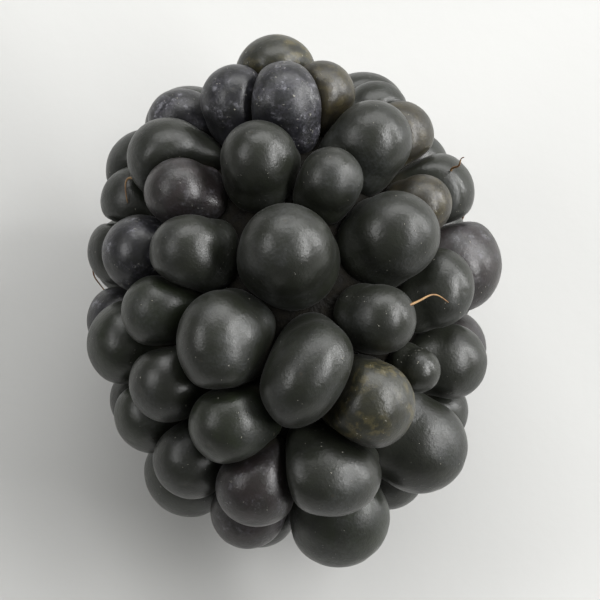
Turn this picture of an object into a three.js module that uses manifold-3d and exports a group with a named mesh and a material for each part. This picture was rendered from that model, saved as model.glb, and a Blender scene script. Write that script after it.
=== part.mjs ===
// A picked bramble berry lying on its side: a head of fused drupelets, and the torn end of the receptacle
// that they grew on. Millimetres, +Z up, the fruit's axis along Y with its picked end at +Y. The origin is on
// the surface that the fruit lies on, under the middle of it.
import * as THREE from "three";
import { mergeVertices } from "three/addons/utils/BufferGeometryUtils.js";
import Module from "manifold-3d";

// ---- Driving dimensions ----

// The drupelets' middles lie on this egg, the bed. Its middle is the origin until the fruit is laid down.
const BED_HALF_WIDTH = 8.2;
const BED_TO_STEM = 12.05; // its half-length towards the picked end
const BED_TO_TIP = 11.55; // and towards the tip

// A drupelet, its sizes given in its own radius: an egg that stands out of the bed, with a full belly below.
const RADIUS = 2.25; // a middling one, in mm
const RADIUS_SPREAD = 0.35; // the most by which one is larger or smaller
const DOME = 1.1; // how far it stands out from its middle
const ROOT = 1.5; // how far it reaches in
const BELLY = 0.25; // how much fuller it is halfway down its root, where neighbours press each other flat

// Where drupelets press on each other.
const SQUARENESS = 8; // how sharply one turns from its dome to the flat that a neighbour presses on it
const FUSED = 0.15; // how far neighbours run into each other, so that they hold as one body

// How the drupelets that fill in find their seats.
const SEED = 11;
const SEATS_TRIED = 128; // seats along the spiral, from the picked end to the tip
const GOLDEN_TURN = 137.508; // degrees from one seat of the spiral to the next
const SEAT_WANDER = 20; // degrees
const SEAT_ROOM = 0.74; // how near a leader a seat may be, in sums of radii
const SETTLING_ROUNDS = 160;
const SETTLING_STEP = 0.35; // the share of each overlap that a round takes away
const SCAR_CLEARANCE = 4.8; // how near the axis one may settle at the picked end

// The drupelets that set first and kept their places. Each has its distance along the axis to the picked
// end, the degrees round from the top towards +X, and its radius. A long one also has its length against its
// width, and the degrees from the axis towards +X along which it is long.
const LEADERS = [
  [10.9, 2, 2.15], [9.3, 26, 1.8], [9.3, -66, 1.75], [9.2, -22, 1.95], [8.6, 4, 2.2], [7.6, 70, 1.95],
  [6.6, -54, 2.25], [6.45, 41, 2.2], [5.4, -80, 2.0], [5.25, -9, 2.05], [3.4, 62, 1.6], [4.3, -43, 1.88],
  [3.0, -86, 2.1], [3.8, 17.5, 1.75], [1.3, 90, 2.65, 1.15], [1.0, 41, 2.37], [0.8, -38, 2.05],
  [-0.05, -1, 2.5], [-1.0, 66, 1.9, 1.25], [-2.1, -82, 2.4], [-3.5, 34, 1.85], [-4.0, 88, 2.05],
  [-4.3, -29, 2.6, 1.25, 4], [-5.5, 58, 1.2], [-6.3, 3, 2.65, 1.45, 40], [-7.9, -36, 2.25],
  [-7.5, 33, 2.45], [-8.1, 92, 2.6], [-10.4, 18, 2.5, 1.35, 90], [-11.0, 140, 2.65, 1.2, 90],
  [9.3, 76, 1.7],
];

// The three underneath that carry the fruit, given in the same way.
const FEET = [
  [3.9, -165, 2.8], [-3.7, -165, 2.8], [0.1, 163, 2.5],
];
const FLOOR = -10.35; // the height of the surface, from the axis: it presses the feet a little flat

const CORE_INSET = 0.6; // how far inside the bed the core lies that the drupelets stand on

// The receptacle's end, torn off below the crests of the drupelets round it.
const TORN_FACE = 11.3; // its distance along the axis
const RECEPTACLE_DEPTH = 5;
const RECEPTACLE_RADIUS = 2.2;
const SOCKET_GAP = 0.3;

// Facets.
const DRUPELET_SIDES = 12;
const DRUPELET_TILTS = [180, 118, 84, 54, 28, 0]; // degrees from its top to its rings, fewer where hidden
const CORE_SIDES = 16;
const CORE_RINGS = 10;
const RECEPTACLE_SIDES = 24;

const wasm = await Module();
wasm.setup();

// ---- Solids ----

/** A closed three.js geometry as a manifold-3d solid. */
function solidFrom(geometry) {
  geometry.deleteAttribute("normal");
  geometry.deleteAttribute("uv");
  const merged = mergeVertices(geometry, 1e-4);
  return new wasm.Manifold(
    new wasm.Mesh({
      numProp: 3,
      vertProperties: merged.attributes.position.array,
      triVerts: new Uint32Array(merged.index.array),
    }),
  );
}

/** A manifold-3d solid as a three.js geometry with a normal for each facet. */
function geometryFrom(solid) {
  const mesh = solid.getMesh();
  const shared = new THREE.BufferGeometry();
  shared.setAttribute("position", new THREE.BufferAttribute(mesh.vertProperties, 3));
  shared.setIndex(new THREE.BufferAttribute(mesh.triVerts, 1));
  const faceted = shared.toNonIndexed();
  faceted.computeVertexNormals();
  return faceted;
}

/** The outside of a solid: hollows sealed inside it are filled, and loose scraps are dropped. */
function outsideOf(solid) {
  const shells = solid.decompose();
  return shells.reduce((largest, shell) => (shell.volume() > largest.volume() ? shell : largest));
}

// ---- The bed ----

/** The bed's half-length on the side that a place is on. */
const bedLength = (along) => (along > 0 ? BED_TO_STEM : BED_TO_TIP);

/** The point of the bed at a distance along the axis and an angle round it. */
function onBed(along, degrees) {
  const width = BED_HALF_WIDTH * Math.sqrt(1 - (along / bedLength(along)) ** 2);
  const around = THREE.MathUtils.degToRad(degrees);
  return new THREE.Vector3(width * Math.sin(around), along, width * Math.cos(around));
}

/** A point of the golden spiral, which winds evenly over the bed from the picked end to the tip. */
function onSpiral(step, steps, wander = 0) {
  const share = 1 - (2 * (step + 0.5)) / steps;
  return onBed(share * bedLength(share), step * GOLDEN_TURN + wander);
}

/** Brings a point back to the bed, straight towards its middle, and clear of the scar at the picked end. */
function backToBed(point) {
  const offAxis = Math.hypot(point.x, point.z);
  if (point.y > 0 && offAxis < SCAR_CLEARANCE) {
    const outwards = SCAR_CLEARANCE / Math.max(offAxis, 0.1);
    point.x *= outwards;
    point.z *= outwards;
  }
  const share = new THREE.Vector3(
    point.x / BED_HALF_WIDTH,
    point.y / bedLength(point.y),
    point.z / BED_HALF_WIDTH,
  );
  return point.divideScalar(share.length());
}

/** The way straight out of the bed at one of its points. */
function outOfBed(point) {
  const slope = new THREE.Vector3(
    point.x / BED_HALF_WIDTH ** 2,
    point.y / bedLength(point.y) ** 2,
    point.z / BED_HALF_WIDTH ** 2,
  );
  return slope.normalize();
}

// ---- Where the drupelets sit ----

/** A repeatable draw between 0 and 1. */
function seededDraw(seed) {
  let state = seed;
  return () => {
    state = (state * 48271) % 2147483647;
    return state / 2147483647;
  };
}

/** The leaders and the feet, then a drupelet at each seat of the spiral that has room among them. */
function takeSeats() {
  const draw = seededDraw(SEED);
  const held = [...LEADERS, ...FEET].map(([along, degrees, radius, stretch = 1, heading = 0]) => ({
    middle: onBed(along, degrees),
    radius,
    stretch,
    heading: THREE.MathUtils.degToRad(heading),
    held: true,
  }));
  const free = [];
  for (let step = 0; step < SEATS_TRIED; step++) {
    const radius = RADIUS + RADIUS_SPREAD * (draw() + draw() - 1);
    const middle = backToBed(onSpiral(step, SEATS_TRIED, SEAT_WANDER * (draw() - 0.5)));
    const hasRoom = held.every(
      (leader) => leader.middle.distanceTo(middle) > SEAT_ROOM * (leader.radius + radius),
    );
    if (hasRoom) free.push({ middle, radius, stretch: 1, heading: 0, held: false });
  }
  return [...held, ...free];
}

/** Lets the drupelets between the leaders push each other apart until they lie evenly. */
function settle(seats) {
  for (let round = 0; round < SETTLING_ROUNDS; round++) {
    const pushes = seats.map((seat) => {
      const push = new THREE.Vector3();
      for (const other of seats) {
        if (other === seat) continue;
        const apart = seat.middle.clone().sub(other.middle);
        const overlap = seat.radius + other.radius - apart.length();
        if (overlap > 0) push.addScaledVector(apart.normalize(), overlap);
      }
      return push;
    });
    seats.forEach((seat, i) => {
      if (!seat.held) backToBed(seat.middle.addScaledVector(pushes[i], SETTLING_STEP));
    });
  }
}

// ---- The pieces ----

/**
 * The flats that a drupelet's neighbours press on it. Each has the way to that neighbour, and how firmly it
 * is pressed: enough to bring the fullest of the belly back to the flat between the two.
 */
function flatsOf(seat, seats) {
  const fullest = seat.radius * (1 + BELLY);
  const flats = [];
  for (const other of seats) {
    if (other === seat) continue;
    const way = other.middle.clone().sub(seat.middle);
    const distance = (way.length() * seat.radius) / (seat.radius + other.radius) + FUSED;
    if (distance > fullest) continue;
    flats.push({ way: way.normalize(), firmness: distance ** -SQUARENESS - fullest ** -SQUARENESS });
  }
  return flats;
}

/**
 * One drupelet. Along each direction from its middle, its surface lies at a smooth least of two distances:
 * the egg's, and the one to the flats that its neighbours press on it.
 */
function drupelet(seat, seats) {
  const out = outOfBed(seat.middle);
  const side = new THREE.Vector3(0, 1, 0).cross(out).normalize();
  const along = out.clone().cross(side);
  const forward = along.multiplyScalar(Math.cos(seat.heading)).addScaledVector(side, Math.sin(seat.heading));
  const across = forward.clone().cross(out);
  const stretch = Math.sqrt(seat.stretch);
  const flats = flatsOf(seat, seats);

  const profile = DRUPELET_TILTS.map((degrees) => {
    const tilt = THREE.MathUtils.degToRad(degrees);
    const onAxis = degrees === 0 || degrees === 180;
    return new THREE.Vector2(onAxis ? 0 : Math.sin(tilt), Math.cos(tilt));
  });
  const geometry = new THREE.LatheGeometry(profile, DRUPELET_SIDES);
  const corners = geometry.attributes.position;
  const corner = new THREE.Vector3();
  for (let i = 0; i < corners.count; i++) {
    const up = corners.getY(i);
    const height = up > 0 ? DOME : ROOT;
    const width = up > 0 ? 1 : 1 + BELLY * Math.sin(Math.PI * up) ** 2;
    corner
      .set(0, 0, 0)
      .addScaledVector(across, (corners.getX(i) * width) / stretch)
      .addScaledVector(forward, -corners.getZ(i) * width * stretch)
      .addScaledVector(out, up * height);
    const eggDistance = seat.radius * corner.length();
    corner.normalize();
    let nearness = eggDistance ** -SQUARENESS;
    for (const flat of flats) {
      const facing = corner.dot(flat.way);
      if (facing > 0) nearness += flat.firmness * facing ** SQUARENESS;
    }
    corner.multiplyScalar(nearness ** (-1 / SQUARENESS)).add(seat.middle);
    corners.setXYZ(i, corner.x, corner.y, corner.z);
  }
  return solidFrom(geometry);
}

/** The core: the bed, drawn in by the inset. */
function core() {
  const profile = [];
  for (let ring = 0; ring <= CORE_RINGS; ring++) {
    const turn = Math.PI * (ring / CORE_RINGS - 0.5);
    const onAxis = ring === 0 || ring === CORE_RINGS;
    const width = onAxis ? 0 : (BED_HALF_WIDTH - CORE_INSET) * Math.cos(turn);
    profile.push(new THREE.Vector2(width, (bedLength(Math.sin(turn)) - CORE_INSET) * Math.sin(turn)));
  }
  return solidFrom(new THREE.LatheGeometry(profile, CORE_SIDES));
}

/** The receptacle's end, a blunt plug that widens outwards, with its outside moved out by a margin. */
function receptacle(margin) {
  const inner = TORN_FACE - RECEPTACLE_DEPTH;
  const profile = [
    new THREE.Vector2(0, inner - margin),
    new THREE.Vector2(0.6 * RECEPTACLE_RADIUS + margin, inner + 0.2 - margin),
    new THREE.Vector2(0.85 * RECEPTACLE_RADIUS + margin, inner + 0.35 * RECEPTACLE_DEPTH),
    new THREE.Vector2(RECEPTACLE_RADIUS + margin, TORN_FACE - 0.5),
    new THREE.Vector2(0.85 * RECEPTACLE_RADIUS + margin, TORN_FACE + margin),
    new THREE.Vector2(0, TORN_FACE + 0.15 + margin),
  ];
  return solidFrom(new THREE.LatheGeometry(profile, RECEPTACLE_SIDES));
}

/** All the drupelets on their core, with the receptacle's socket, pressed flat where the fruit rests. */
function head(seats) {
  const grown = wasm.Manifold.union([core(), ...seats.map((seat) => drupelet(seat, seats))]);
  const size = 4 * BED_TO_STEM;
  const underFloor = solidFrom(new THREE.BoxGeometry(size, size, size).translate(0, 0, FLOOR - size / 2));
  return outsideOf(grown.subtract(receptacle(SOCKET_GAP)).subtract(underFloor));
}

const seats = takeSeats();
settle(seats);

const ripeSkin = new THREE.MeshStandardMaterial({ color: 0x1b1a20, roughness: 0.3, metalness: 0 });
const tornPith = new THREE.MeshStandardMaterial({ color: 0xb9b27c, roughness: 0.75, metalness: 0 });

const drupelets = new THREE.Mesh(geometryFrom(head(seats)), ripeSkin);
drupelets.name = "drupelets";
const plug = new THREE.Mesh(geometryFrom(receptacle(0)), tornPith);
plug.name = "receptacle";

// Laid down: the floor comes to nought, and the middle of the head's box over the origin.
const berry = new THREE.Group();
berry.add(drupelets, plug);
drupelets.geometry.computeBoundingBox();
const middle = drupelets.geometry.boundingBox.getCenter(new THREE.Vector3());
berry.position.set(-middle.x, -middle.y, -FLOOR);

export default berry;
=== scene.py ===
"""A picked bramble berry lying on its side on a pale table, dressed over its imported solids.

Sizes in the classes are in millimetres, in the fruit's own frame: the axis along Y with the picked end at +Y,
+Z up, and the middle of the bed at the origin. `Resting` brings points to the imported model's frame, in
metres.
"""

import logging
import math
from collections.abc import Iterator
from dataclasses import dataclass
from enum import Enum

import bpy
import numpy as np
from mathutils import Matrix, Vector


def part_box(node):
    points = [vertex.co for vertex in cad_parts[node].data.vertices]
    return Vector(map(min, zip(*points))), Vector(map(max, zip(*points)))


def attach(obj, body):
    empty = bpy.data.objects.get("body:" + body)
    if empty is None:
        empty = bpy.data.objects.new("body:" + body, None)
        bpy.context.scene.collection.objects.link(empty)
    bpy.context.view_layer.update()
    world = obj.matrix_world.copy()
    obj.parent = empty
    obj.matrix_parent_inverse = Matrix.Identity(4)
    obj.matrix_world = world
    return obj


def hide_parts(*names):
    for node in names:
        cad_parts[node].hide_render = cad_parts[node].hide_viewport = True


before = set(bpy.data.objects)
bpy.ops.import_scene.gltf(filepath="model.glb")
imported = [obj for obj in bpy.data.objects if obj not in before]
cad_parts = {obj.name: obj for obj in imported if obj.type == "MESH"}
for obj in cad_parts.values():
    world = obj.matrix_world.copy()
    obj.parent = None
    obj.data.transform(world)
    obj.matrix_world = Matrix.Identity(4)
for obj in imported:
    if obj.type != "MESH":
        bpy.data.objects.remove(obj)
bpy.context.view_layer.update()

MM = 0.001
AXIS = np.array([0.0, 1.0, 0.0])
GOLDEN_TURN = 137.508  # degrees from one seat of a golden spiral to the next
LOG = logging.getLogger("bramble_berry")


# ---- Shared tools ----------------------------------------------------------------------------------------


class Draw:
    """A repeatable draw of numbers between 0 and 1.

    Each state is the last one times MULTIPLIER, less whole MODULUSes, and each number is state / MODULUS.
    """

    MULTIPLIER = 48271
    MODULUS = 2147483647

    def __init__(self, seed: int) -> None:
        """Starts the draw.

        Args:
            seed: A whole number above 0.
        """
        self.state = seed

    def __call__(self) -> float:
        """The next number."""
        self.state = self.state * self.MULTIPLIER % self.MODULUS
        return self.state / self.MODULUS

    def between(self, low: float, high: float) -> float:
        """The next number, scaled to lie between two others."""
        return low + (high - low) * self()


def unit(vectors: np.ndarray) -> np.ndarray:
    """Vectors at length 1, along the last axis."""
    return vectors / np.linalg.norm(vectors, axis=-1, keepdims=True)


def waves(
    directions: np.ndarray, count: int, pitch: tuple[float, float], rng: np.random.Generator
) -> np.ndarray:
    """Smooth lumps over a ball: the mean of sine waves that run in drawn directions.

    Each wave is sin(pitch * (direction . drawn unit vector) + drawn phase).

    Args:
        directions: Unit vectors, with the last axis of length 3.
        count: How many waves.
        pitch: The least and most radians that a wave turns over the ball's radius.
        rng: The seeded draw.

    Returns:
        Values between -1 and 1, in the shape of the directions less the last axis.
    """
    ways = unit(rng.normal(size=(count, 3)))
    pitches = rng.uniform(*pitch, count)
    phases = rng.uniform(0, 2 * math.pi, count)
    return np.sin((directions @ ways.T) * pitches + phases).mean(axis=-1)


@dataclass(frozen=True)
class BallGrid:
    """A closed surface's grid: a pole, rings of points round it, and the pole at the other end."""

    rings: int
    columns: int

    @property
    def size(self) -> int:
        """How many points one surface has."""
        return self.rings * self.columns + 2

    def angles(self) -> tuple[np.ndarray, np.ndarray]:
        """Where every point lies: ring r of n tilts pi r / (n + 1), and column c of m turns 2 pi c / m.

        Returns:
            The tilts from the first pole and the turns round it, in radians.
        """
        tilt = math.pi * np.arange(1, self.rings + 1) / (self.rings + 1)
        turn = 2 * math.pi * np.arange(self.columns) / self.columns
        tilts = np.concatenate([[0.0], np.repeat(tilt, self.columns), [math.pi]])
        turns = np.concatenate([[0.0], np.tile(turn, self.rings), [0.0]])
        return tilts, turns

    def faces(self, copies: int = 1) -> tuple[np.ndarray, np.ndarray]:
        """The pole triangles and the quads between rings, of several surfaces in a row, facing out.

        Args:
            copies: How many surfaces, each with its points after the last one's.

        Returns:
            Triangles as rows of 3 point numbers, and quads as rows of 4.
        """
        here = np.arange(self.columns)
        following = np.roll(here, -1)
        first, last = 0, self.size - 1
        start = 1 + (self.rings - 1) * self.columns
        triangles = np.concatenate([
            np.stack([np.full(self.columns, first), 1 + here, 1 + following], 1),
            np.stack([np.full(self.columns, last), start + following, start + here], 1),
        ])
        row = 1 + self.columns * np.arange(self.rings - 1)[:, None]
        quads = np.stack([
            row + here, row + self.columns + here, row + self.columns + following, row + following,
        ], -1).reshape(-1, 4)
        offsets = self.size * np.arange(copies)[:, None, None]
        return (triangles + offsets).reshape(-1, 3), (quads + offsets).reshape(-1, 4)


def mesh_object(name: str, points: np.ndarray, triangles: np.ndarray, quads: np.ndarray) -> bpy.types.Object:
    """A smooth-shaded mesh object from arrays.

    Args:
        name: The object's name.
        points: Rows of x, y, z in metres.
        triangles: Rows of 3 point numbers.
        quads: Rows of 4 point numbers.

    Returns:
        The object, linked to the scene.
    """
    mesh = bpy.data.meshes.new(name)
    sizes = np.concatenate([np.full(len(triangles), 3), np.full(len(quads), 4)])
    corners = np.concatenate([triangles.ravel(), quads.ravel()]).astype(np.int32)
    mesh.vertices.add(len(points))
    mesh.vertices.foreach_set("co", points.astype(np.float32).ravel())
    mesh.loops.add(len(corners))
    mesh.loops.foreach_set("vertex_index", corners)
    mesh.polygons.add(len(sizes))
    mesh.polygons.foreach_set("loop_start", np.concatenate([[0], np.cumsum(sizes)[:-1]]).astype(np.int32))
    mesh.polygons.foreach_set("use_smooth", np.ones(len(sizes), bool))
    mesh.update(calc_edges=True)
    mesh.validate()
    piece = bpy.data.objects.new(name, mesh)
    bpy.context.scene.collection.objects.link(piece)
    return piece


def give_values(piece: bpy.types.Object, name: str, values: np.ndarray) -> None:
    """Gives a mesh a value for each of its points, which its material can read.

    Args:
        piece: The mesh object.
        name: The attribute's name.
        values: One number for each point, or rows of red, green, blue.
    """
    if values.ndim == 1:
        attribute = piece.data.attributes.new(name, "FLOAT", "POINT")
        attribute.data.foreach_set("value", values.astype(np.float32))
        return
    opaque = np.concatenate([values, np.ones((len(values), 1))], 1)
    attribute = piece.data.attributes.new(name, "FLOAT_COLOR", "POINT")
    attribute.data.foreach_set("color", opaque.astype(np.float32).ravel())


def linear(red: int, green: int, blue: int) -> tuple[float, float, float]:
    """A screen colour, as the linear values that shaders take.

    A channel c of 0 to 1 becomes ((c + 0.055) / 1.055)^2.4, or c / 12.92 where it is nearly black.

    Args:
        red: Red, from 0 to 255.
        green: Green, the same.
        blue: Blue, the same.

    Returns:
        Linear red, green and blue, from 0 to 1.
    """
    channels = [channel / 255 for channel in (red, green, blue)]
    return tuple(((c + 0.055) / 1.055) ** 2.4 if c > 0.04 else c / 12.92 for c in channels)


# ---- How the drupelets are packed ------------------------------------------------------------------------


class Cast(Enum):
    """The cast that a drupelet's near-black skin has."""

    BLACK = linear(28, 30, 24)
    BLUE = linear(28, 28, 32)
    PURPLE = linear(36, 31, 31)
    OLIVE = linear(38, 38, 28)
    BROWN = linear(43, 39, 29)
    GREEN = linear(29, 33, 23)


# How mottled with olive a skin of each cast is, and how frosted with wax, where it is. Frosted skins also
# carry painted glints of wet skin.
WORN = {Cast.OLIVE: 1.0, Cast.BROWN: 0.5}
FROSTED = {Cast.BLUE: 1.0, Cast.PURPLE: 0.35}

# What the drupelets between the leaders are drawn from.
FOLLOWER_CASTS = (Cast.BLACK, Cast.BLACK, Cast.PURPLE, Cast.BLACK, Cast.BLUE, Cast.GREEN)


@dataclass(frozen=True)
class Leader:
    """A drupelet that set early and keeps its place.

    Its distance along the axis to the picked end, the degrees round from the top towards +X, and its radius.
    A long one has its length against its width as well, and the degrees from the axis towards +X along which
    it is long.
    """

    along: float
    degrees: float
    radius: float
    stretch: float = 1.0
    heading: float = 0.0
    cast: Cast = Cast.BLACK


LEADERS = (
    Leader(10.9, 2, 2.15, cast=Cast.OLIVE),
    Leader(9.3, 26, 1.8, cast=Cast.BROWN),
    Leader(9.3, -66, 1.75, cast=Cast.BLUE),
    Leader(9.2, -22, 1.95, cast=Cast.BLUE),
    Leader(8.6, 4, 2.2, cast=Cast.BLUE),
    Leader(7.6, 70, 1.95, cast=Cast.BROWN),
    Leader(6.6, -54, 2.25),
    Leader(6.45, 41, 2.2),
    Leader(5.4, -80, 2.0),
    Leader(5.25, -9, 2.05),
    Leader(3.4, 62, 1.6, cast=Cast.BROWN),
    Leader(4.3, -43, 1.88, cast=Cast.PURPLE),
    Leader(3.0, -86, 2.1),
    Leader(3.8, 17.5, 1.75),
    Leader(1.3, 90, 2.65, 1.15, cast=Cast.PURPLE),
    Leader(1.0, 41, 2.37),
    Leader(0.8, -38, 2.05),
    Leader(-0.05, -1, 2.5),
    Leader(-1.0, 66, 1.9, 1.25),
    Leader(-2.1, -82, 2.4, cast=Cast.GREEN),
    Leader(-3.5, 34, 1.85),
    Leader(-4.0, 88, 2.05),
    Leader(-4.3, -29, 2.6, 1.25, 4),
    Leader(-5.5, 58, 1.2),
    Leader(-6.3, 3, 2.65, 1.45, 40),
    Leader(-7.9, -36, 2.25, cast=Cast.GREEN),
    Leader(-7.5, 33, 2.45, cast=Cast.OLIVE),
    Leader(-8.1, 92, 2.6),
    Leader(-10.4, 18, 2.5, 1.35, 90),
    Leader(-11.0, 140, 2.65, 1.2, 90, cast=Cast.GREEN),
    Leader(9.3, 76, 1.7),
)

# Three that are set underneath, where the fruit rests.
FEET = (Leader(3.9, -165, 2.8), Leader(-3.7, -165, 2.8), Leader(0.1, 163, 2.5))


@dataclass(frozen=True)
class Bed:
    """The egg that the drupelets' middles lie on."""

    half_width: float = 8.2
    to_stem: float = 12.05
    to_tip: float = 11.55

    def length(self, along: np.ndarray) -> np.ndarray:
        """Its half-length towards the end that each place is nearer."""
        return np.where(np.asarray(along) > 0, self.to_stem, self.to_tip)

    def half_axes(self, points: np.ndarray) -> np.ndarray:
        """Its half-axes along X, Y and Z at each point."""
        width = np.full(len(points), self.half_width)
        return np.stack([width, self.length(points[:, 1]), width], 1)

    def at(self, along: np.ndarray, degrees: np.ndarray) -> np.ndarray:
        """Its points at distances along the axis and angles round it.

        At distance a the bed is half_width * sqrt(1 - (a / half-length)^2) from the axis.

        Args:
            along: Distances towards the picked end.
            degrees: Angles round from the top towards +X.

        Returns:
            Rows of x, y, z.
        """
        along, around = np.asarray(along, float), np.radians(degrees)
        width = self.half_width * np.sqrt(1 - (along / self.length(along)) ** 2)
        return np.stack([width * np.sin(around), along, width * np.cos(around)], -1)

    def spiral(self, steps: int, wander: np.ndarray | float = 0.0) -> np.ndarray:
        """A golden spiral that winds evenly from the picked end to the tip.

        Step k of n lies at the share 1 - (2k + 1) / n of the half-length, k golden turns round.

        Args:
            steps: How many points.
            wander: Degrees added to the turn of each.

        Returns:
            Rows of x, y, z.
        """
        step = np.arange(steps)
        share = 1 - 2 * (step + 0.5) / steps
        return self.at(share * self.length(share), step * GOLDEN_TURN + wander)

    def outwards(self, points: np.ndarray) -> np.ndarray:
        """The way straight out of the bed at each of its points."""
        return unit(points / self.half_axes(points) ** 2)


@dataclass
class Seats:
    """Where the drupelets sit, and how large and long each is."""

    middle: np.ndarray
    radius: np.ndarray
    stretch: np.ndarray
    heading: np.ndarray
    cast: list[Cast]

    def __len__(self) -> int:
        """How many there are."""
        return len(self.radius)

    def add(self, middle: np.ndarray, radius: float, cast: Cast) -> None:
        """Adds a round drupelet.

        Args:
            middle: Its middle, as x, y, z.
            radius: Its radius.
            cast: The cast of its skin.
        """
        self.middle = np.vstack([self.middle, middle])
        self.radius = np.append(self.radius, radius)
        self.stretch = np.append(self.stretch, 1.0)
        self.heading = np.append(self.heading, 0.0)
        self.cast.append(cast)


@dataclass(frozen=True)
class Packing:
    """How the drupelets between the leaders find their seats.

    A seat has room where no leader's middle is nearer than seat_room times the two radii together. In each
    round, neighbours that are nearer than their radii together push each other by step times what is missing.
    """

    radius: float = 2.25
    radius_spread: float = 0.35
    seed: int = 11
    seats_tried: int = 128
    seat_wander: float = 20.0
    seat_room: float = 0.74
    rounds: int = 160
    step: float = 0.35
    scar_clearance: float = 4.8
    least_off_axis: float = 0.1

    def back_to_bed(self, points: np.ndarray, bed: Bed) -> np.ndarray:
        """Brings points back to the bed, straight towards its middle, and clear of the scar.

        Args:
            points: Rows of x, y, z near the bed.
            bed: The bed.

        Returns:
            Rows of x, y, z on the bed.
        """
        off_axis = np.hypot(points[:, 0], points[:, 2])
        on_scar = (points[:, 1] > 0) & (off_axis < self.scar_clearance)
        outwards = np.where(on_scar, self.scar_clearance / np.maximum(off_axis, self.least_off_axis), 1.0)
        points = points * np.stack([outwards, np.ones_like(outwards), outwards], 1)
        return points / np.linalg.norm(points / bed.half_axes(points), axis=1)[:, None]

    def take_seats(self, bed: Bed) -> tuple[Seats, int]:
        """The leaders and the feet, then a drupelet at each seat of the spiral that has room among them.

        Args:
            bed: The bed.

        Returns:
            The seats, and how many of them keep their place.
        """
        first = LEADERS + FEET
        held = len(first)
        seats = Seats(
            bed.at([s.along for s in first], [s.degrees for s in first]),
            np.array([s.radius for s in first]),
            np.array([s.stretch for s in first]),
            np.radians([s.heading for s in first]),
            [s.cast for s in first],
        )
        draw = Draw(self.seed)
        drawn = [(draw(), draw(), draw()) for _ in range(self.seats_tried)]
        radii = [self.radius + self.radius_spread * (a + b - 1) for a, b, _ in drawn]
        wander = np.array([self.seat_wander * (c - 0.5) for *_, c in drawn])
        tried = self.back_to_bed(bed.spiral(self.seats_tried, wander), bed)
        casts = np.random.default_rng(self.seed).choice(len(FOLLOWER_CASTS), self.seats_tried)
        for middle, radius, cast in zip(tried, radii, casts):
            apart = np.linalg.norm(seats.middle[:held] - middle, axis=1)
            if np.all(apart > self.seat_room * (seats.radius[:held] + radius)):
                seats.add(middle, radius, FOLLOWER_CASTS[cast])
        return seats, held

    def settle(self, seats: Seats, held: int, bed: Bed) -> None:
        """Lets the drupelets between the leaders push each other apart until they lie evenly.

        Args:
            seats: The seats, which move.
            held: How many of them, from the first, keep their place.
            bed: The bed.
        """
        wanted = seats.radius[:, None] + seats.radius[None, :]
        for _ in range(self.rounds):
            apart = seats.middle[:, None] - seats.middle[None, :]
            distance = np.linalg.norm(apart, axis=2)
            np.fill_diagonal(distance, np.inf)
            push = apart * (np.clip(wanted - distance, 0, None) / distance)[..., None]
            moved = seats.middle + self.step * push.sum(axis=1)
            seats.middle[held:] = self.back_to_bed(moved, bed)[held:]

    def pack(self, bed: Bed) -> Seats:
        """All the seats, settled.

        Args:
            bed: The bed.

        Returns:
            The seats.
        """
        seats, held = self.take_seats(bed)
        self.settle(seats, held, bed)
        return seats


@dataclass(frozen=True)
class Resting:
    """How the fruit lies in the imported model's frame: the middle of its bed, in metres."""

    middle: np.ndarray

    @classmethod
    def on_receptacle(cls, top: float) -> "Resting":
        """Finds the bed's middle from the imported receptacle, whose axis is the fruit's.

        Args:
            top: How far along the axis the receptacle's highest point lies.

        Returns:
            How the fruit lies.
        """
        low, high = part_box("receptacle")
        across, up = (low.x + high.x) / 2, (low.z + high.z) / 2
        return cls(np.array([across, high.y - top * MM, up]))

    def place(self, points: np.ndarray) -> np.ndarray:
        """Points of the fruit's frame, in millimetres, as points of the model's, in metres."""
        return points * MM + self.middle


# ---- The pieces ------------------------------------------------------------------------------------------


class Flank(Enum):
    """A side of the fruit, by the degrees round from its top of the middle of that side."""

    UPPER = 0
    RIGHT = 90
    UNDER = 180
    LEFT = -90

    def holds(self, middles: np.ndarray) -> np.ndarray:
        """Which of some points lie on this side, which is the quarter round its middle.

        Args:
            middles: Rows of x, y, z.

        Returns:
            True or false for each point.
        """
        around = np.degrees(np.arctan2(middles[:, 0], middles[:, 2]))
        off = (around - self.value + 180) % 360 - 180
        return (off >= -45) & (off < 45)


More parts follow.
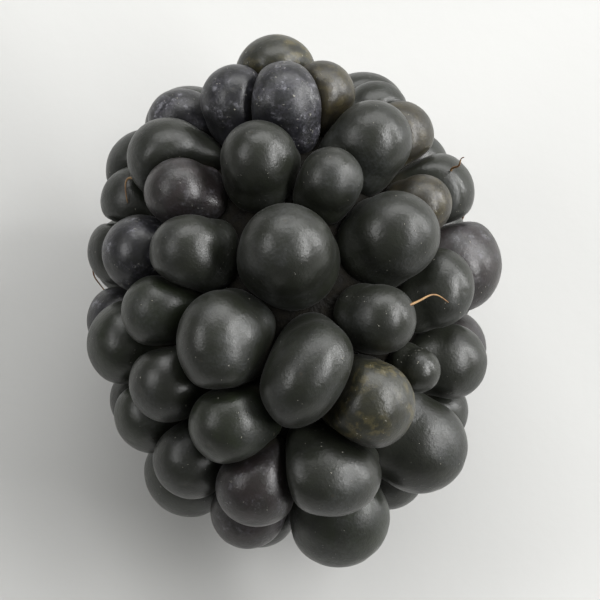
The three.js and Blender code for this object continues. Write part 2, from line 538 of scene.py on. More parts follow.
@dataclass(frozen=True)
class DrupeletHead:
    """The drupelets: eggs that stand out of the bed on narrowing roots, pressed flat on each other.

    The floor is the table's height under the axis. Shares of a drupelet's radius are: the dome, its height
    outwards; the root, its depth inwards; the belly, by which it swells between the two; its lumps and
    ripples; and the pit at its tip, whose width is an angle in radians.
    """

    seats: Seats
    bed: Bed
    floor: float = -10.35
    dome: float = 1.1
    root: float = 1.5
    belly: float = 0.25
    squareness: float = 8.0
    gap: float = 0.02
    lump: float = 0.022
    lump_waves: int = 5
    lump_pitch: tuple[float, float] = (1.5, 4.0)
    ripple: float = 0.004
    ripple_waves: int = 7
    ripple_pitch: tuple[float, float] = (9.0, 15.0)
    tip_pit: float = 0.02
    tip_width: float = 0.08
    tip_stray: float = 0.22
    seed: int = 4
    grid: BallGrid = BallGrid(rings=45, columns=72)

    def frames(self) -> tuple[np.ndarray, np.ndarray, np.ndarray]:
        """Which way each drupelet stands.

        Returns:
            Rows of x, y, z for the ways out, along its length and across it.
        """
        out = self.bed.outwards(self.seats.middle)
        side = unit(np.cross(AXIS, out))
        along = np.cross(out, side)
        heading = self.seats.heading[:, None]
        forward = along * np.cos(heading) + side * np.sin(heading)
        return out, forward, np.cross(forward, out)

    def flats(self, which: int) -> Iterator[tuple[np.ndarray, float]]:
        """The flats pressed on one drupelet.

        Args:
            which: Its number.

        Yields:
            The way to each flat and its distance from the drupelet's middle.
        """
        seats = self.seats
        ways = seats.middle - seats.middle[which]
        apart = np.linalg.norm(ways, axis=1)
        radius = seats.radius[which]
        distance = apart * radius / (radius + seats.radius) - self.gap
        for other in np.flatnonzero((apart > 0) & (distance < radius * (1 + self.belly))):
            yield ways[other] / apart[other], distance[other]
        above = seats.middle[which, 2] - self.floor
        if above < radius * (1 + self.belly):
            yield np.array([0.0, 0.0, -1.0]), above

    def form(self, which: int, rng: np.random.Generator) -> tuple[np.ndarray, np.ndarray, np.ndarray]:
        """One drupelet's surface.

        On a ball grid whose poles lie fore and aft, where neighbours hide them. Along each direction d the
        surface lies at (e^-p + sum of k_j (d . w_j)^p)^(-1/p): e is the egg's distance, w_j the way to
        flat j, k_j = f_j^-p - b^-p with f_j the flat's distance and b the radius at the belly, and p the
        squareness. It meets every flat and turns smoothly into the egg. Lumps, ripples and a pit at the tip
        are added where it isn't pressed.

        Args:
            which: The drupelet's number.
            rng: The seeded draw.

        Returns:
            The points, how near each is to the tip, and how much each is pressed, from 0 to 1.
        """
        out, forward, across = (way[which] for way in self.frames())
        radius, middle = self.seats.radius[which], self.seats.middle[which]
        stretch = math.sqrt(self.seats.stretch[which])
        tilt, turn = self.grid.angles()
        up = np.sin(tilt) * np.cos(turn)
        height = np.where(up > 0, self.dome, self.root)
        width = np.where(up > 0, 1.0, 1 + self.belly * np.sin(math.pi * up) ** 2)
        egg = (
            np.outer(np.cos(tilt) * width * stretch, forward)
            + np.outer(np.sin(tilt) * np.sin(turn) * width / stretch, across)
            + np.outer(up * height, out)
        )
        distance = radius * np.linalg.norm(egg, axis=1)
        way = unit(egg)
        nearness = distance**-self.squareness
        own = nearness.copy()
        for flat, reach in self.flats(which):
            facing = np.clip(way @ flat, 0, None)
            firmness = reach**-self.squareness - (radius * (1 + self.belly)) ** -self.squareness
            nearness += firmness * facing**self.squareness
        pressed = 1 - own / nearness

        stray = rng.normal(size=2) * self.tip_stray
        tip = unit(out + stray[0] * forward + stray[1] * across)
        off_tip = np.linalg.norm(way - tip, axis=1) / self.tip_width
        at_tip = np.exp(-off_tip**2)
        relief = (
            self.lump * waves(way, self.lump_waves, self.lump_pitch, rng)
            + self.ripple * waves(way, self.ripple_waves, self.ripple_pitch, rng)
            - self.tip_pit * at_tip
        )
        reach = nearness ** (-1 / self.squareness) + radius * relief * (1 - pressed)
        return middle + way * reach[:, None], at_tip, pressed

    def build(self, resting: Resting, finish: "RipeSkin") -> list[bpy.types.Object]:
        """Makes a piece for each side of the fruit.

        Args:
            resting: How the fruit lies.
            finish: The skin.

        Returns:
            The pieces.
        """
        rng = np.random.default_rng(self.seed)
        forms = [self.form(which, rng) for which in range(len(self.seats))]
        points, at_tip, pressed = (np.array(values) for values in zip(*forms))
        looks = {
            "cast": [[cast.value] for cast in self.seats.cast],
            "worn": [[WORN.get(cast, 0.0)] for cast in self.seats.cast],
            "frosted": [[FROSTED.get(cast, 0.0)] for cast in self.seats.cast],
        }
        values = {name: np.repeat(look, self.grid.size, axis=1) for name, look in looks.items()}
        values |= {"tip": at_tip, "pressed": pressed}
        skin = finish.material()
        pieces = []
        for flank in Flank:
            mine = flank.holds(self.seats.middle)
            triangles, quads = self.grid.faces(int(mine.sum()))
            piece = mesh_object(
                f"drupelets_{flank.name.lower()}",
                resting.place(points[mine].reshape(-1, 3)),
                triangles,
                quads,
            )
            for name, each in values.items():
                give_values(piece, name, each[mine].reshape(-1, *each.shape[2:]))
            piece.data.materials.append(skin)
            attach(piece, "root")
            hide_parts("drupelets")
            pieces.append(piece)
        return pieces


@dataclass(frozen=True)
class Style:
    """A dried style, by three places that it passes.

    Each is a distance along the axis to the picked end, the degrees round from the top towards +X, and the
    distance off the axis.
    """

    start: tuple[float, float, float]
    bend: tuple[float, float, float]
    end: tuple[float, float, float]


STYLES = (
    Style((-3.3, 37.5, 9.6), (-2.45, 47, 9.6), (-2.3, 58.5, 9.45)),
    Style((5.95, -63.5, 8.45), (5.85, -66.5, 8.75), (4.8, -68.5, 8.6)),
    Style((5.3, 70, 9.3), (5.4, 66.5, 9.95), (5.5, 63, 10.6)),
)


@dataclass(frozen=True)
class DriedStyles:
    """The dried styles: fine curling hairs, a few listed and the others drawn.

    A drawn one rises by lift at its bend, where it has gone lean of its length to the side, and comes down by
    droop at its end.
    """

    seats: Seats
    bed: Bed
    drawn: int = 14
    length: tuple[float, float] = (1.2, 2.6)
    lift: float = 0.12
    lean: float = 0.45
    droop: float = 0.3
    thick: float = 0.07
    thin: float = 0.025
    wave: float = 0.07
    wave_turns: tuple[float, float] = (1.0, 2.2)
    least_height: float = -7.0
    least_degrees: float = 105.0
    seed: int = 21
    grid: BallGrid = BallGrid(rings=30, columns=6)

    def shown(self) -> np.ndarray:
        """The styles that are listed.

        Returns:
            For each, its three places as rows of x, y, z.
        """
        places = np.array([(style.start, style.bend, style.end) for style in STYLES], float)
        along, around, off = places[..., 0], np.radians(places[..., 1]), places[..., 2]
        return np.stack([off * np.sin(around), along, off * np.cos(around)], -1)

    def strewn(self, rng: np.random.Generator) -> np.ndarray:
        """The drawn styles, each grown from a drupelet's tip and leaning over to one side.

        Args:
            rng: The seeded draw.

        Returns:
            For each, its three places as rows of x, y, z.
        """
        middle, radius = self.seats.middle, self.seats.radius
        around = np.degrees(np.arctan2(middle[:, 0], middle[:, 2]))
        low_enough, high_enough = np.abs(around) > self.least_degrees, middle[:, 2] > self.least_height
        chosen = rng.choice(np.flatnonzero(low_enough & high_enough), self.drawn, replace=False)
        out = self.bed.outwards(middle[chosen])
        side = unit(np.cross(out, unit(rng.normal(size=out.shape))))
        reach = rng.uniform(*self.length, len(chosen))[:, None]
        start = middle[chosen] + out * radius[chosen, None]
        bend = start + out * self.lift * reach + side * self.lean * reach
        return np.stack([start, bend, start + side * reach - out * self.droop * reach], 1)

    def form(self) -> np.ndarray:
        """All their surfaces, each a tube with closed ends.

        The line through start S, bend B and end E is S (1 - t)^2 + 2 C t (1 - t) + E t^2 with
        C = 2 B - (S + E) / 2, and a slow wave to the side. The tube thins from its start to its end.

        Returns:
            For each, its points as rows of x, y, z.
        """
        rng = np.random.default_rng(self.seed)
        places = np.concatenate([self.shown(), self.strewn(rng)])
        start, bend, end = (place[:, None] for place in np.moveaxis(places, 1, 0))
        share = np.linspace(0, 1, self.grid.rings + 2)[None, :, None]
        control = 2 * bend - (start + end) / 2
        line = start * (1 - share) ** 2 + 2 * control * share * (1 - share) + end * share**2
        turns = rng.uniform(*self.wave_turns, (len(line), 1, 1))
        phase = rng.uniform(0, 2 * math.pi, (len(line), 1, 1))
        aside = unit(np.cross(end - start, bend))
        line = line + aside * self.wave * np.sin(2 * math.pi * turns * share + phase)
        onwards = unit(np.gradient(line, axis=1))
        normal = unit(np.cross(onwards, aside))
        across = np.cross(normal, onwards)
        turn = 2 * math.pi * np.arange(self.grid.columns) / self.grid.columns
        ring = normal[:, 1:-1, None] * np.cos(turn)[:, None] + across[:, 1:-1, None] * np.sin(turn)[:, None]
        width = (self.thick + (self.thin - self.thick) * share[:, 1:-1])[..., None]
        tubes = (line[:, 1:-1, None] + width * ring).reshape(len(line), -1, 3)
        return np.concatenate([line[:, :1], tubes, line[:, -1:]], 1)

    def build(self, resting: Resting, finish: "DryThread") -> bpy.types.Object:
        """Makes the piece.

        Args:
            resting: How the fruit lies.
            finish: The dry thread.

        Returns:
            The piece.
        """
        forms = self.form()
        triangles, quads = self.grid.faces(len(forms))
        piece = mesh_object("dried_styles", resting.place(forms.reshape(-1, 3)), triangles, quads)
        piece.data.materials.append(finish.material())
        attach(piece, "root")
        return piece


@dataclass(frozen=True)
class Core:
    """The core under the drupelets: the bed drawn in, with small lumps."""

    bed: Bed
    inset: float = 1.3
    lump: float = 0.35
    lump_waves: int = 12
    lump_pitch: tuple[float, float] = (14.0, 34.0)
    seed: int = 9
    grid: BallGrid = BallGrid(rings=71, columns=96)

    def form(self) -> np.ndarray:
        """Its surface: the way out from the middle, times the egg's half-axes and the lumps' height.

        Returns:
            Rows of x, y, z.
        """
        tilt, turn = self.grid.angles()
        way = np.stack([np.sin(tilt) * np.sin(turn), np.cos(tilt), np.sin(tilt) * np.cos(turn)], 1)
        half_axes = self.bed.half_axes(way) - self.inset
        rng = np.random.default_rng(self.seed)
        lumps = self.lump * waves(way, self.lump_waves, self.lump_pitch, rng)
        return way * (half_axes + lumps[:, None])

    def build(self, resting: Resting, finish: "CreviceFleshAndShade") -> bpy.types.Object:
        """Makes the piece.

        Args:
            resting: How the fruit lies.
            finish: The dark flesh at the bottom of the crevices, made nearly black with painted shade.

        Returns:
            The piece.
        """
        triangles, quads = self.grid.faces()
        piece = mesh_object("core", resting.place(self.form()), triangles, quads)
        piece.data.materials.append(finish.material())
        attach(piece, "root")
        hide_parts("drupelets")
        return piece


@dataclass(frozen=True)
class Receptacle:
    """The torn end of the receptacle, squeezed between the drupelets round it."""

    torn_face: float = 11.3
    depth: float = 5.0
    radius: float = 2.2
    crown: float = 0.15
    middle_pit: float = 0.15
    middle_pit_share: float = 0.16
    rim_drop: float = 0.25
    rim_draw: float = 0.12
    waist: float = 0.88
    belly: float = 0.1
    taper: float = 0.3
    inner_round: float = 0.15
    lobes: int = 5
    lobe_turn: float = 0.8
    lobe_shifts: tuple[tuple[float, int, float], ...] = ((0.2, 1, 1.0), (0.11, 2, 2.4))
    outline_waves: tuple[tuple[float, int, float], ...] = ((0.05, 2, 0.0), (0.02, 11, 2.0))
    lobe_swell: float = 0.07
    crease_depth: float = 0.4
    crease_reach: float = 0.7
    torn: float = 0.3
    torn_waves: int = 9
    torn_pitch: tuple[float, float] = (4.0, 11.0)
    torn_turn: float = 0.4
    fibre: float = 0.14
    fibre_waves: int = 12
    fibre_pitch: tuple[float, float] = (18.0, 40.0)
    seed: int = 5
    grid: BallGrid = BallGrid(rings=89, columns=144)

    @property
    def top(self) -> float:
        """How far along the axis its highest point lies."""
        return self.torn_face + self.crown

    def form(self) -> tuple[np.ndarray, np.ndarray]:
        """Its surface, on a ball grid with poles on the axis.

        The first half of the rings crosses the torn face, and the rest goes down the side to a rounded inner
        end. The face has lobes that meet in creases, as |cos(lobes turn / 2)|, with ridges of fibre on them.
        The outline swells with the lobes, as cos(lobes turn), and in smaller waves. Waves in the turn, as
        share * sin(count * turn + phase), make the lobes uneven.

        Returns:
            The points, and how deep in a crease each lies, from 0 to 1.
        """
        rng = np.random.default_rng(self.seed)
        tilt, turn = self.grid.angles()
        share = tilt / math.pi
        on_face = share < 0.5
        face = np.clip(share / 0.5, 0, 1)
        side = np.clip((share - 0.5) / 0.5, 0, 1)
        shifted = turn + sum(size * np.sin(count * turn + phase) for size, count, phase in self.lobe_shifts)
        round_lobes = self.lobes * shifted + self.lobe_turn
        outline = 1 + self.lobe_swell * np.cos(round_lobes)
        outline += sum(size * np.cos(count * turn + phase) for size, count, phase in self.outline_waves)
        rim = 1 - self.rim_draw * face**8
        past = np.clip(side - (1 - self.inner_round), 0, None) / self.inner_round
        below = self.waist + self.belly * np.sin(math.pi * side) - self.taper * side
        below = below * np.sqrt(np.clip(1 - past**2, 0, 1))
        off_axis = self.radius * np.where(on_face, face * rim, below) * outline

        way = np.stack([np.sin(turn) * face, np.cos(turn) * face, self.torn_turn * face], 1)
        torn = self.torn * waves(way, self.torn_waves, self.torn_pitch, rng)
        torn += self.fibre * waves(way, self.fibre_waves, self.fibre_pitch, rng)
        crease = (1 - np.abs(np.cos(round_lobes / 2))) * np.clip(face / self.crease_reach, 0, 1) * (1 - side)
        middle_pit = self.middle_pit * np.exp(-((face / self.middle_pit_share) ** 2))
        relief = self.crown * (1 - face**2) - middle_pit + torn * (1 - face**6) - self.rim_drop * face**10
        down = self.rim_drop + (self.depth - self.rim_drop) * side
        along = self.torn_face + np.where(on_face, relief, -down) - self.crease_depth * crease
        return np.stack([off_axis * np.sin(turn), along, off_axis * np.cos(turn)], 1), crease

    def build(self, resting: Resting, finish: "TornPith") -> bpy.types.Object:
        """Makes the piece.

        Args:
            resting: How the fruit lies.
            finish: The pith.

        Returns:
            The piece.
        """
        triangles, quads = self.grid.faces()
        points, crease = self.form()
        piece = mesh_object("receptacle_end", resting.place(points), triangles, quads)
        give_values(piece, "crease", crease)
        piece.data.materials.append(finish.material())
        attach(piece, "root")
        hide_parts("receptacle")
        return piece


# ---- Finishes --------------------------------------------------------------------------------------------


@dataclass(frozen=True)
class Pattern:
    """Patches over a surface, where a noise is strong.

    The size of the noise's features in millimetres, how many finer layers it has and how strong they are, and
    the values of it at which a patch begins and is full.
    """

    feature: float
    detail: float
    roughness: float
    begins: float
    full: float


class Nodes:
    """A material being wired: its nodes, its links and its shader."""

    def __init__(self, name: str) -> None:
        """Starts a material with one Principled shader.

        Args:
            name: The material's name.
        """
        self.material = bpy.data.materials.new(name)
        self.material.use_nodes = True
        self.tree = self.material.node_tree
        self.shader = self.tree.nodes["Principled BSDF"]

    def add(self, kind: str, **settings: object) -> bpy.types.ShaderNode:
        """A new node.

        Args:
            kind: The node's type.
            settings: Its own settings, by name.

        Returns:
            The node.
        """
        node = self.tree.nodes.new(kind)
        for name, value in settings.items():
            setattr(node, name, value)
        return node

    def link(self, source: bpy.types.NodeSocket, target: bpy.types.NodeSocket) -> None:
        """Joins an output to an input."""
        self.tree.links.new(source, target)

    def value(self, name: str) -> bpy.types.NodeSocket:
        """The mesh's own value of a name, as a number."""
        return self.add("ShaderNodeAttribute", attribute_name=name).outputs["Fac"]

    def colour(self, name: str) -> bpy.types.NodeSocket:
        """The mesh's own value of a name, as a colour."""
        return self.add("ShaderNodeAttribute", attribute_name=name).outputs["Color"]

    def noise(self, feature: float, detail: float = 3.0, roughness: float = 0.5) -> bpy.types.NodeSocket:
        """Noise over the piece, in the model's own place.

        Args:
            feature: The size of its features, in millimetres.
            detail: How many finer layers it has.
            roughness: How strong they are.

        Returns:
            Its value.
        """
        place = self.add("ShaderNodeTexCoord")
        noise = self.add("ShaderNodeTexNoise")
        noise.inputs["Scale"].default_value = 1 / (feature * MM)
        noise.inputs["Detail"].default_value = detail
        noise.inputs["Roughness"].default_value = roughness
        self.link(place.outputs["Object"], noise.inputs["Vector"])
        return noise.outputs["Fac"]

    def patches(self, pattern: Pattern) -> bpy.types.NodeSocket:
        """How far a pattern's patches are there, from 0 to 1."""
        noise = self.noise(pattern.feature, pattern.detail, pattern.roughness)
        return self.ramp(noise, pattern.begins, pattern.full)

    def cells(self, feature: float) -> bpy.types.NodeSocket:
        """The distance to the nearest of points strewn over the piece.

        Args:
            feature: How far apart they are, in millimetres.

        Returns:
            Its value.
        """
        place = self.add("ShaderNodeTexCoord")
        cells = self.add("ShaderNodeTexVoronoi", feature="F1")
        cells.inputs["Scale"].default_value = 1 / (feature * MM)
        self.link(place.outputs["Object"], cells.inputs["Vector"])
        return cells.outputs["Distance"]

    def ramp(
        self, source: bpy.types.NodeSocket, low: float, high: float, start: float = 0.0, end: float = 1.0
    ) -> bpy.types.NodeSocket:
        """Turns values from low to high into start to end, smoothly and no further.

        Args:
            source: What is turned.
            low: The value that gives start.
            high: The value that gives end.
            start: The result at low.
            end: The result at high.

        Returns:
            The result.
        """
        ramp = self.add("ShaderNodeMapRange", interpolation_type="SMOOTHSTEP")
        for name, value in (("From Min", low), ("From Max", high), ("To Min", start), ("To Max", end)):
            ramp.inputs[name].default_value = value
        self.link(source, ramp.inputs["Value"])
        return ramp.outputs["Result"]

    def math(self, operation: str, first: object, second: object) -> bpy.types.NodeSocket:
        """A sum, product or other result of two values.

        Args:
            operation: What is done with them.
            first: An output or a number.
            second: The same.

        Returns:
            The result.
        """
        node = self.add("ShaderNodeMath", operation=operation)
        for socket, value in zip(node.inputs, (first, second)):
            if isinstance(value, (int, float)):
                socket.default_value = value
            else:
                self.link(value, socket)
        return node.outputs[0]

    def mix(self, share: object, first: object, second: object) -> bpy.types.NodeSocket:
        """A mix of two colours.

        Args:
            share: How much of the second, an output or a number.
            first: An output, or red, green, blue.
            second: The same.

        Returns:
            The mixed colour.
        """
        node = self.add("ShaderNodeMix", data_type="RGBA")
        for socket, value in ((node.inputs[0], share), (node.inputs[6], first), (node.inputs[7], second)):
            if isinstance(value, bpy.types.NodeSocket):
                self.link(value, socket)
            elif isinstance(value, (int, float)):
                socket.default_value = value
            else:
                socket.default_value = (*value, 1.0)
        return node.outputs[2]

    def bump(
        self, height: bpy.types.NodeSocket, depth: float, before: bpy.types.NodeSocket | None = None
    ) -> bpy.types.NodeSocket:
        """Relief that only the light sees.

        Args:
            height: Its shape, from 0 to 1.
            depth: How deep it is, in millimetres.
            before: Relief that it is added to.

        Returns:
            The normal.
        """
        bump = self.add("ShaderNodeBump")
        bump.inputs["Distance"].default_value = depth * MM
        self.link(height, bump.inputs["Height"])
        if before is not None:
            self.link(before, bump.inputs["Normal"])
        return bump.outputs["Normal"]

    def set(self, **values: object) -> None:
        """Sets or links the shader's sockets.

        Args:
            values: An output, a number or a colour for each socket, whose name has _ for a space.
        """
        for name, value in values.items():
            socket = self.shader.inputs[name.replace("_", " ")]
            if isinstance(value, bpy.types.NodeSocket):
                self.link(value, socket)
            elif isinstance(value, tuple) and len(value) == 3 and socket.type == "RGBA":
                socket.default_value = (*value, 1.0)
            else:
                socket.default_value = value


@dataclass(frozen=True)
class RipeSkin:
    """The drupelets' skin: thin, taut and near black, with a faint waxy bloom in patches.

    Its tones come first, each with how much of it shows at most, then its patterns, the sizes and depths of
    its relief in millimetres, and its gloss. Some drupelets are frosted over their wax, with painted glints
    of wet skin in spots, and some are worn to olive. The flanks pressed down in the crevices are lightened
    with painted light.
    """

    dark: tuple[float, float, float] = linear(19, 20, 16)
    dark_share: float = 0.6
    bloom: tuple[float, float, float] = linear(70, 72, 74)
    bloom_share: tuple[float, float] = (0.05, 0.3)
    frost: tuple[float, float, float] = linear(82, 80, 89)
    frost_share: float = 0.4
    # Painted highlight: pale spots on the frosted patches that stand for glints on wet skin.
    wet_glint: tuple[float, float, float] = linear(158, 158, 166)
    wet_glint_share: float = 0.4
    olive: tuple[float, float, float] = linear(86, 78, 48)
    olive_share: float = 0.46
    # Painted light: a pale tone that lightens the flanks pressed down in the crevices.
    painted_crevice_light: tuple[float, float, float] = linear(64, 62, 52)
    painted_crevice_light_share: float = 0.9
    dry_tip: tuple[float, float, float] = linear(58, 49, 36)
    dry_share: float = 0.35
    speck: tuple[float, float, float] = linear(172, 170, 156)
    speck_share: float = 0.5

    waxed: Pattern = Pattern(2.6, 3.0, 0.55, begins=0.45, full=0.7)
    frosting: Pattern = Pattern(1.4, 4.0, 0.65, begins=0.45, full=0.62)
    glint_spots: Pattern = Pattern(0.6, 4.0, 0.7, begins=0.54, full=0.66)
    scuffs: Pattern = Pattern(2.2, 3.0, 0.5, begins=0.4, full=0.55)
    scratches: Pattern = Pattern(0.5, 4.0, 0.7, begins=0.45, full=0.6)
    dust: Pattern = Pattern(0.15, 1.0, 0.5, begins=0.72, full=0.78)
    crumbs: Pattern = Pattern(0.2, 2.0, 0.5, begins=0.65, full=0.75)

    mottle: float = 0.9
    mottle_depth: float = 0.04
    fine: float = 0.16
    fine_depth: float = 0.012
    grain: float = 0.05
    grain_depth: float = 0.005
    speck_depth: float = 0.03

    gloss: float = 0.29
    gloss_spread: float = 0.12
    dulled: float = 0.1
    refraction: float = 1.48
    sheen: float = 0.04
    sheen_roughness: float = 0.3

    def material(self) -> bpy.types.Material:
        """Makes the material.

        Returns:
            The material.
        """
        nodes = Nodes("ripe_skin")
        mottle = nodes.noise(self.mottle, 4.0, 0.6)
        fine = nodes.noise(self.fine, 3.0)
        grain = nodes.noise(self.grain, 2.0)
        waxed = nodes.patches(self.waxed)
        frosted = nodes.math("MULTIPLY", nodes.value("frosted"), nodes.patches(self.frosting))
        glinted = nodes.math("MULTIPLY", frosted, nodes.patches(self.glint_spots))
        scuffed = nodes.math("MULTIPLY", nodes.patches(self.scuffs), nodes.patches(self.scratches))
        worn = nodes.math("MULTIPLY", nodes.value("worn"), scuffed)
        marred = nodes.math("MAXIMUM", frosted, worn)
        dusty = nodes.math("MULTIPLY", nodes.patches(self.dust), nodes.ramp(mottle, 0.52, 0.6))
        specks = nodes.math("MAXIMUM", dusty, nodes.math("MULTIPLY", marred, nodes.patches(self.crumbs)))

        layers = (
            (nodes.ramp(mottle, 0.35, 0.65, 0.0, self.dark_share), self.dark),
            (nodes.math("MULTIPLY", waxed, nodes.ramp(fine, 0.35, 0.75, *self.bloom_share)), self.bloom),
            (nodes.math("MULTIPLY", frosted, nodes.ramp(fine, 0.3, 0.7, 0.0, self.frost_share)), self.frost),
            # Painted highlight: glints of wet skin, painted pale in spots on the frost.
            (nodes.math("MULTIPLY", glinted, self.wet_glint_share), self.wet_glint),
            (nodes.math("MULTIPLY", worn, self.olive_share), self.olive),
            # Painted light: the flanks pressed down in the crevices are lightened.
            (nodes.ramp(nodes.value("pressed"), 0.6, 1.0, 0.0, self.painted_crevice_light_share), self.painted_crevice_light),
            (nodes.ramp(nodes.value("tip"), 0.55, 1.0, 0.0, self.dry_share), self.dry_tip),
            (nodes.math("MULTIPLY", specks, self.speck_share), self.speck),
        )
        colour = nodes.colour("cast")
        for share, tone in layers:
            colour = nodes.mix(share, colour, tone)

        taut = nodes.ramp(mottle, 0.25, 0.75, self.gloss, self.gloss + self.gloss_spread)
        dulled = nodes.math("MULTIPLY", nodes.math("MAXIMUM", waxed, marred), self.dulled)
        relief = nodes.bump(grain, self.grain_depth)
        relief = nodes.bump(fine, self.fine_depth, relief)
        relief = nodes.bump(mottle, self.mottle_depth, relief)
        relief = nodes.bump(specks, self.speck_depth, relief)
        nodes.set(
            Base_Color=colour,
            Roughness=nodes.math("ADD", taut, dulled),
            Normal=relief,
            IOR=self.refraction,
            Sheen_Weight=self.sheen,
            Sheen_Roughness=self.sheen_roughness,
        )
        return nodes.material


@dataclass(frozen=True)
class CreviceFleshAndShade:
    """What shows at the bottom of the crevices: dark flesh, nearly black with painted shade, and dull."""

    # Painted shade: both tones are darker than the skin, standing for the shade in the gaps.
    deep: tuple[float, float, float] = linear(15, 14, 12)
    lit: tuple[float, float, float] = linear(24, 22, 18)
    mottle: float = 0.6
    bumps: float = 0.25
    bump_depth: float = 0.08
    roughness: tuple[float, float] = (0.45, 0.7)
    specular: float = 0.05

    def material(self) -> bpy.types.Material:
        """Makes the material.

        Returns:
            The material.
        """
        nodes = Nodes("crevice_flesh_and_shade")
        mottle = nodes.noise(self.mottle, 4.0)
        nodes.set(
            Base_Color=nodes.mix(nodes.ramp(mottle, 0.35, 0.7), self.deep, self.lit),
            Roughness=nodes.ramp(mottle, 0.3, 0.7, *self.roughness),
            Normal=nodes.bump(nodes.noise(self.bumps), self.bump_depth),
            Specular_IOR_Level=self.specular,
        )
        return nodes.material


@dataclass(frozen=True)
class TornPith:
    """The torn receptacle: olive fibre, moist, darker in its pits, with painted shade down its creases."""

    pale: tuple[float, float, float] = linear(134, 125, 62)
    green: tuple[float, float, float] = linear(94, 89, 35)
    dark: tuple[float, float, float] = linear(74, 52, 32)
    pit_share: float = 0.5
    crease_shade_share: float = 0.7
    # Painted shade: how much darker the creases get, by their depth.
    fibre_share: float = 0.35
    lumps: float = 0.9
    lump_depth: float = 0.15
    fibres: float = 0.14
    fibre_depth: float = 0.06
    pits: float = 0.5
    roughness: tuple[float, float] = (0.38, 0.7)
    translucency: float = 0.25
    light_reach: float = 0.4

    def material(self) -> bpy.types.Material:
        """Makes the material.

        Returns:
            The material.
        """
        nodes = Nodes("torn_pith")
        lumps = nodes.noise(self.lumps, 4.0)
        fibres = nodes.noise(self.fibres, 3.0)
        colour = nodes.mix(nodes.ramp(lumps, 0.3, 0.7), self.green, self.pale)
        for darkness in (
            nodes.ramp(nodes.cells(self.pits), 0.35, 0.05, 0.0, self.pit_share),
            # Painted shade: darker down the creases of the torn face.
            nodes.ramp(nodes.value("crease"), 0.3, 1.0, 0.0, self.crease_shade_share),
            nodes.ramp(fibres, 0.55, 0.8, 0.0, self.fibre_share),
        ):
            colour = nodes.mix(darkness, colour, self.dark)
        nodes.set(
            Base_Color=colour,
            Roughness=nodes.ramp(fibres, 0.3, 0.7, *self.roughness),
            Normal=nodes.bump(fibres, self.fibre_depth, nodes.bump(lumps, self.lump_depth)),
            Subsurface_Weight=self.translucency,
            Subsurface_Scale=self.light_reach * MM,
        )
        return nodes.material


@dataclass(frozen=True)
class DryThread:
    """The dried styles: dull, from straw to rust."""

    straw: tuple[float, float, float] = linear(136, 106, 68)
    rust: tuple[float, float, float] = linear(102, 68, 38)
    streaks: float = 0.7
    grain: float = 0.06
    grain_depth: float = 0.01
    roughness: tuple[float, float] = (0.5, 0.7)

    def material(self) -> bpy.types.Material:
        """Makes the material.

        Returns:
            The material.
        """
        nodes = Nodes("dry_thread")
        streaks = nodes.noise(self.streaks, 3.0)
        nodes.set(
            Base_Color=nodes.mix(nodes.ramp(streaks, 0.35, 0.65), self.straw, self.rust),
            Roughness=nodes.ramp(streaks, 0.3, 0.7, *self.roughness),
            Normal=nodes.bump(nodes.noise(self.grain), self.grain_depth),
        )
        return nodes.material


@dataclass(frozen=True)
class PaleTable:
    """The table: plain, pale and dull."""

    pale: tuple[float, float, float] = (0.45, 0.45, 0.44)
    dim: tuple[float, float, float] = (0.42, 0.42, 0.41)
    dim_share: float = 0.06
    clouds: float = 30.0
    grain: float = 0.8
    grain_depth: float = 0.01
    roughness: tuple[float, float] = (0.55, 0.62)

    def material(self) -> bpy.types.Material:
        """Makes the material.

        Returns:
            The material.
        """
        nodes = Nodes("pale_table")
        clouds = nodes.noise(self.clouds, 2.0)
        nodes.set(
            Base_Color=nodes.mix(nodes.ramp(clouds, 0.3, 0.7, 0.0, self.dim_share), self.pale, self.dim),
            Roughness=nodes.ramp(clouds, 0.3, 0.7, *self.roughness),
            Normal=nodes.bump(nodes.noise(self.grain, 2.0), self.grain_depth),
        )
        return nodes.material


# ---- The studio ------------------------------------------------------------------------------------------


@dataclass(frozen=True)
class Softbox:
    """A light placed by its angle from the line of sight and its turn round it.

    The turn is in degrees anticlockwise from the view's right. The width and height are measured across and
    up the view before the light is rolled, by some degrees anticlockwise. They and the distance are in
    metres, and the power is in watts.
    """

    name: str
    from_sight: float
    turn: float
    width: float
    height: float
    roll: float
    power: float
    distance: float = 0.5


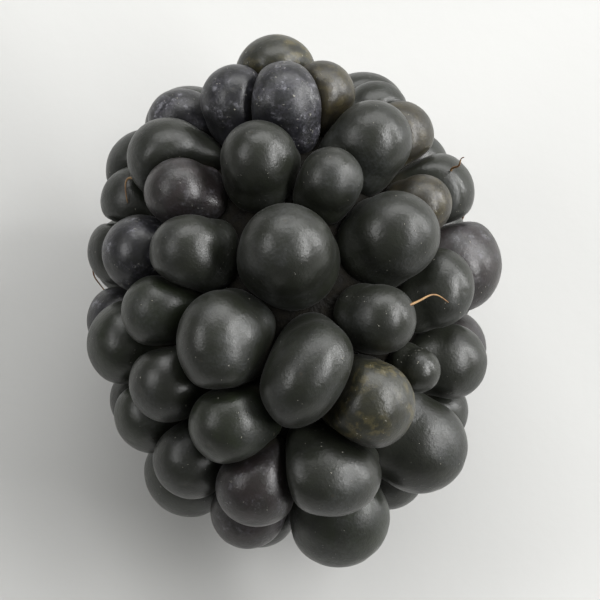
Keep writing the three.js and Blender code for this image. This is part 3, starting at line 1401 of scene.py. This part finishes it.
@dataclass(frozen=True)
class Studio:
    """The table, the lights and the camera.

    The camera's distance and the table's half-width are in metres. The view's width and how far the fruit's
    middle lies left of the view's are in millimetres.
    """

    azimuth: float = -4.28
    elevation: float = 72.0
    distance: float = 1.1
    view_width: float = 31.0
    off_centre: float = 0.54
    nearest_seen: float = 0.05
    table_half: float = 1.5
    sky_bright: float = 0.5
    sky_dark: float = 0.2
    sky_tint: tuple[float, float, float] = (1.0, 1.0, 0.965)
    sky_from_sight: float = 62.0
    sky_turn: float = 48.0
    lights: tuple[Softbox, ...] = (
        Softbox("key", from_sight=48, turn=14, width=0.07, height=0.50, roll=0, power=3.1),
        Softbox("top", from_sight=68, turn=84, width=0.60, height=0.30, roll=0, power=2.4),
        Softbox("left", from_sight=50, turn=162, width=0.08, height=0.34, roll=0, power=0.8),
        Softbox("rim", from_sight=80, turn=24, width=0.40, height=0.03, roll=-66, power=1.9),
    )

    def sight(self) -> tuple[Vector, Vector, Vector]:
        """Which way the view looks.

        Returns:
            The ways towards the camera, to the view's right and up it.
        """
        azimuth, elevation = math.radians(self.azimuth), math.radians(self.elevation)
        level = Vector((math.sin(azimuth), -math.cos(azimuth), 0))
        towards = level * math.cos(elevation) + Vector((0, 0, math.sin(elevation)))
        right = Vector((math.cos(azimuth), math.sin(azimuth), 0))
        return towards, right, towards.cross(right)

    def way(self, from_sight: float, turn: float) -> Vector:
        """The way that lies some degrees off the line of sight.

        Args:
            from_sight: Those degrees.
            turn: The degrees that it is turned round the line of sight from the view's right.

        Returns:
            The way, at length 1.
        """
        towards, right, up = self.sight()
        off, turn = math.radians(from_sight), math.radians(turn)
        return towards * math.cos(off) + (right * math.cos(turn) + up * math.sin(turn)) * math.sin(off)

    def camera(self, target: Vector) -> None:
        """Sets up the camera.

        Args:
            target: The point at the middle of the view.
        """
        towards, right, _ = self.sight()
        data = bpy.data.cameras.new("camera")
        data.lens = data.sensor_width * self.distance / (self.view_width * MM)
        data.clip_start = self.nearest_seen
        camera = bpy.data.objects.new("camera", data)
        camera.location = target + towards * self.distance
        camera.rotation_euler = (-towards).to_track_quat("-Z", "Y").to_euler()
        bpy.context.scene.collection.objects.link(camera)
        bpy.context.scene.camera = camera

    def light(self, box: Softbox, target: Vector) -> None:
        """Hangs one light, which faces the fruit.

        Args:
            box: The light.
            target: The point that it faces.
        """
        way = self.way(box.from_sight, box.turn)
        data = bpy.data.lights.new(box.name, "AREA")
        data.shape = "RECTANGLE"
        data.size = box.width
        data.size_y = box.height
        data.energy = box.power
        light = bpy.data.objects.new(box.name, data)
        light.location = target + way * box.distance
        across = self.sight()[2].cross(way).normalized()
        upright = Matrix((across, way.cross(across), way)).transposed()
        light.rotation_euler = (upright @ Matrix.Rotation(math.radians(box.roll), 3, "Z")).to_euler()
        bpy.context.scene.collection.objects.link(light)

    def world(self) -> None:
        """Lights the surroundings, brightest to the upper right of the view and dark at its lower left."""
        world = bpy.data.worlds.new("surroundings")
        world.use_nodes = True
        tree = world.node_tree
        place = tree.nodes.new("ShaderNodeTexCoord")
        facing = tree.nodes.new("ShaderNodeVectorMath")
        facing.operation = "DOT_PRODUCT"
        facing.inputs[1].default_value = self.way(self.sky_from_sight, self.sky_turn)
        strength = tree.nodes.new("ShaderNodeMapRange")
        for name, value in (("From Min", 0.0), ("To Min", self.sky_dark), ("To Max", self.sky_bright)):
            strength.inputs[name].default_value = value
        background = tree.nodes["Background"]
        background.inputs["Color"].default_value = (*self.sky_tint, 1.0)
        tree.links.new(place.outputs["Generated"], facing.inputs[0])
        tree.links.new(facing.outputs["Value"], strength.inputs["Value"])
        tree.links.new(strength.outputs["Result"], background.inputs["Strength"])
        bpy.context.scene.world = world

    def table(self) -> bpy.types.Object:
        """Makes the table, a wide sheet at the height that the fruit lies at.

        Returns:
            The table.
        """
        half = self.table_half
        points = np.array([[-half, -half, 0], [half, -half, 0], [half, half, 0], [-half, half, 0]])
        table = mesh_object("table", points, np.empty((0, 3), int), np.array([[0, 1, 2, 3]]))
        table.data.materials.append(PaleTable().material())
        return table

    def build(self, middle: Vector) -> None:
        """Sets up all of it.

        Args:
            middle: The middle of the fruit.
        """
        _, right, _ = self.sight()
        self.table()
        for box in self.lights:
            self.light(box, middle)
        self.camera(middle + right * self.off_centre * MM)
        self.world()
        bpy.context.scene.view_settings.view_transform = "Standard"


def main() -> None:
    """Builds the fruit and the studio, and logs how many drupelets and faces came out."""
    logging.basicConfig(level=logging.INFO, format="%(name)s: %(message)s")
    bed = Bed()
    seats = Packing().pack(bed)
    receptacle = Receptacle()
    resting = Resting.on_receptacle(receptacle.top)
    LOG.info("%d drupelets", len(seats))
    pieces = [
        *DrupeletHead(seats, bed).build(resting, RipeSkin()),
        Core(bed).build(resting, CreviceFleshAndShade()),
        receptacle.build(resting, TornPith()),
        DriedStyles(seats, bed).build(resting, DryThread()),
    ]
    for piece in pieces:
        LOG.info("%s: %d faces", piece.name, len(piece.data.polygons))
    Studio().build(Vector(resting.middle))


if __name__ == "__main__":
    main()
